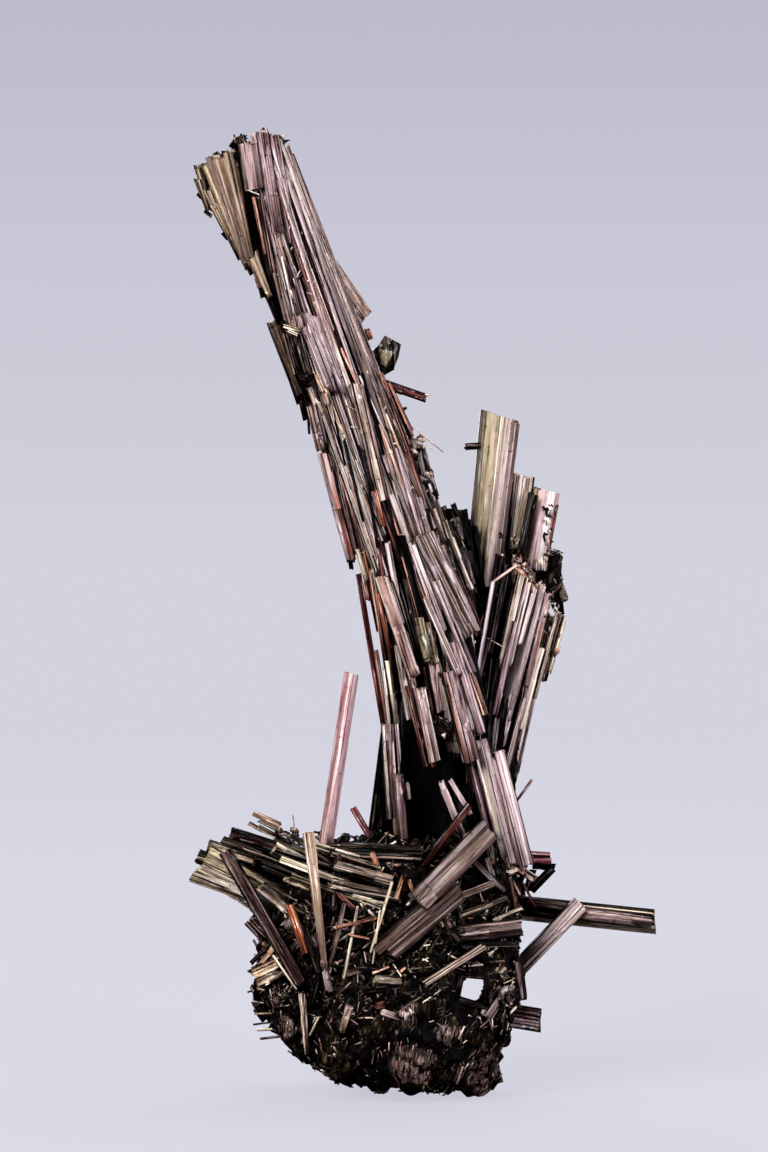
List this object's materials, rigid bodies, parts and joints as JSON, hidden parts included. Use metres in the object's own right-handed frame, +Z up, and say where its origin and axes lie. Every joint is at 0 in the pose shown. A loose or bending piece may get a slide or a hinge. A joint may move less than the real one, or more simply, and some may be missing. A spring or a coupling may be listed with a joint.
{
  "type": "schorl crystal specimen",
  "caption": "Natural schorl specimen: a tall leaning bundle of striated crystals and a smaller group of prisms on a ragged crystal matrix, standing on a flat break.",
  "frame": {"origin": "centre of the flat break that the specimen stands on", "axes": "+Z up along the specimen's height, -Y towards its front, +X to the right seen from the front"},
  "size_m": [0.0463, 0.0252, 0.0966],
  "materials": {
    "schorl_mauve": "vitreous, finely striated, mauve-grey gloss over black",
    "schorl_black": "vitreous, striated, near black",
    "schorl_champagne": "vitreous, streaked, champagne to olive",
    "schorl_rust": "vitreous, translucent on thin edges, rust red",
    "schorl_orange": "vitreous, translucent, orange-tan",
    "schorl_rose": "vitreous, translucent, rose to dark red",
    "matrix_rock": "rough, matted small crystals and rock"
  },
  "bodies": {
    "root": {"top_facet": "schorl_mauve", "side_slab": "schorl_black", "centre_band": "schorl_mauve", "brown_lath": "schorl_champagne", "scratched_lath": "schorl_mauve", "orange_lath": "schorl_orange", "edge_lath_high": "schorl_mauve", "edge_lath_low": "schorl_black", "foot_lath_left": "schorl_rust", "foot_lath_right": "schorl_mauve", "lower_lath_left": "schorl_mauve", "lower_lath_right": "schorl_black", "splinter": "schorl_rust", "green_chip": "schorl_black", "red_needle": "schorl_rust", "left_rod": "schorl_rust", "back_crystal": "schorl_black", "tall_prism": "schorl_champagne", "curved_prism": "schorl_mauve", "third_prism": "schorl_rose", "bright_rod": "schorl_black", "yellow_prism": "schorl_champagne", "pink_prism": "schorl_mauve", "outer_prism": "schorl_black", "brown_prism": "schorl_rust", "sub_column_left": "schorl_mauve", "sub_column_right": "schorl_rose", "slab_upper": "schorl_mauve", "slab_lower": "schorl_mauve", "long_rod": "schorl_champagne", "crossing_rod": "schorl_mauve", "red_prism": "schorl_rust", "end_stub": "schorl_black", "pale_prism": "schorl_champagne", "dark_lath": "schorl_black", "tan_rod": "schorl_champagne", "fan_prism": "schorl_champagne", "pale_blade": "schorl_champagne", "dark_upper": "schorl_rust", "dark_rod": "schorl_black", "yellow_blade_a": "schorl_champagne", "yellow_blade_b": "schorl_champagne", "yellow_blade_c": "schorl_champagne", "olive_crystal": "schorl_black", "pink_rod": "schorl_rose", "small_pink_rod": "schorl_rose", "orange_blade": "schorl_orange", "orange_rod": "schorl_orange", "orange_twin": "schorl_rust", "tan_blade": "schorl_orange", "brown_needle": "schorl_orange", "tan_chunk": "schorl_orange", "yellow_pair": "schorl_champagne", "top_shard": "schorl_champagne", "column": "schorl_mauve", "side_matrix": "matrix_rock", "matrix": "matrix_rock"}
  },
  "joints": []
}
